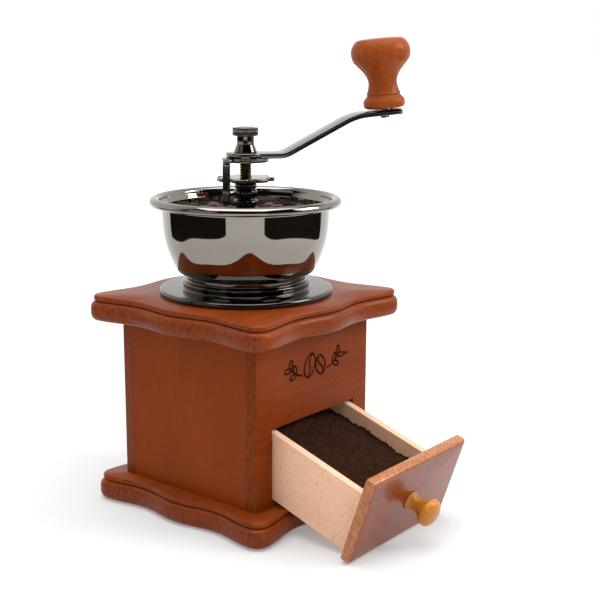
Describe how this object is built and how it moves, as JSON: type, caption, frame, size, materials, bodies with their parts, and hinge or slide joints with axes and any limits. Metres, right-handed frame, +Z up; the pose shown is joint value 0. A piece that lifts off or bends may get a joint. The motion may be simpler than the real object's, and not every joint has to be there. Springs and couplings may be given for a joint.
{
  "type": "manual coffee grinder",
  "caption": "Box-shaped hand coffee mill with an open metal bowl, cranked handle and wooden knob, and a pulled-out drawer under wavy moulded plates.",
  "frame": {"origin": "centre of the underside of the felt pad, on the surface that the mill stands on", "axes": "+Z up along the shaft, -Y the way the drawer opens, +X to the right seen from the drawer's side"},
  "size_m": [0.1412, 0.1967, 0.2646],
  "materials": {
    "stained_wood": "gloss lacquer",
    "raw_beech": "bare, sanded",
    "glue_block_wood": "bare",
    "knob_wood": "gloss lacquer",
    "honey_wood": "satin lacquer",
    "felt": "felt",
    "black_nickel": "mirror plate",
    "black_enamel": "gloss",
    "burr_iron": "machined",
    "dark_brass": "worn",
    "bright_steel": "plain",
    "yellow_brass": "plain"
  },
  "bodies": {
    "box": {"base_pad": "felt", "base_plate": "stained_wood", "left_panel": "stained_wood", "right_panel": "stained_wood", "back_panel": "stained_wood", "front_panel": "stained_wood", "corner_blocks": "glue_block_wood", "drawer_runners": "glue_block_wood", "base_screws": "yellow_brass", "top_plate": "stained_wood", "flange": "black_nickel", "bowl": "black_nickel", "outer_burr": "burr_iron", "bearing_post": "black_enamel", "bearing_bushes": "yellow_brass", "burr_bolts": "bright_steel", "thrust_washer": "black_nickel"},
    "adjusting_nut": {"adjusting_nut": "black_nickel"},
    "spindle": {"shaft": "dark_brass", "inner_burr": "burr_iron", "burr_nut": "bright_steel", "burr_spring": "bright_steel", "stop_plate": "black_nickel", "crank_arm": "black_nickel", "thumb_nut": "black_nickel", "knob_pin": "black_nickel", "knob_washer": "black_nickel"},
    "crank_knob": {"crank_knob": "knob_wood"},
    "sill_rod": {"drawer_sill_rod": "bright_steel"},
    "drawer": {"drawer_front": "stained_wood", "drawer_left_side": "raw_beech", "drawer_right_side": "raw_beech", "drawer_back": "raw_beech", "drawer_bottom": "raw_beech", "drawer_knob": "honey_wood", "drawer_knob_screw": "yellow_brass"}
  },
  "joints": [
    {"name": "crank_turn", "type": "hinge", "parent": "box", "child": "adjusting_nut", "pos_m": [0, 0, 0.1872], "axis": [0, 0, 1], "continuous": true},
    {"name": "grind_setting", "type": "slide", "parent": "adjusting_nut", "child": "spindle", "axis": [0, 0, 1], "range_m": [-0.0008, 0.0008], "deforming": ["burr_spring"]},
    {"name": "knob_spin", "type": "hinge", "parent": "spindle", "child": "crank_knob", "pos_m": [0.06195, -0.05125, 0.22287], "axis": [-0.0739, 0.0611, 0.9954], "continuous": true},
    {"name": "drawer_tip", "type": "hinge", "parent": "box", "child": "sill_rod", "pos_m": [0, -0.0483, 0.0173], "axis": [1, 0, 0], "range_deg": [-18.4, 0]},
    {"name": "drawer_slide", "type": "slide", "parent": "sill_rod", "child": "drawer", "axis": [0, 0.9489, 0.3156], "range_m": [0, 0.0532]}
  ],
  "couplings": [
    {"joint": "drawer_tip", "follows": "drawer_slide", "rad_per_m": -6.0365}
  ]
}
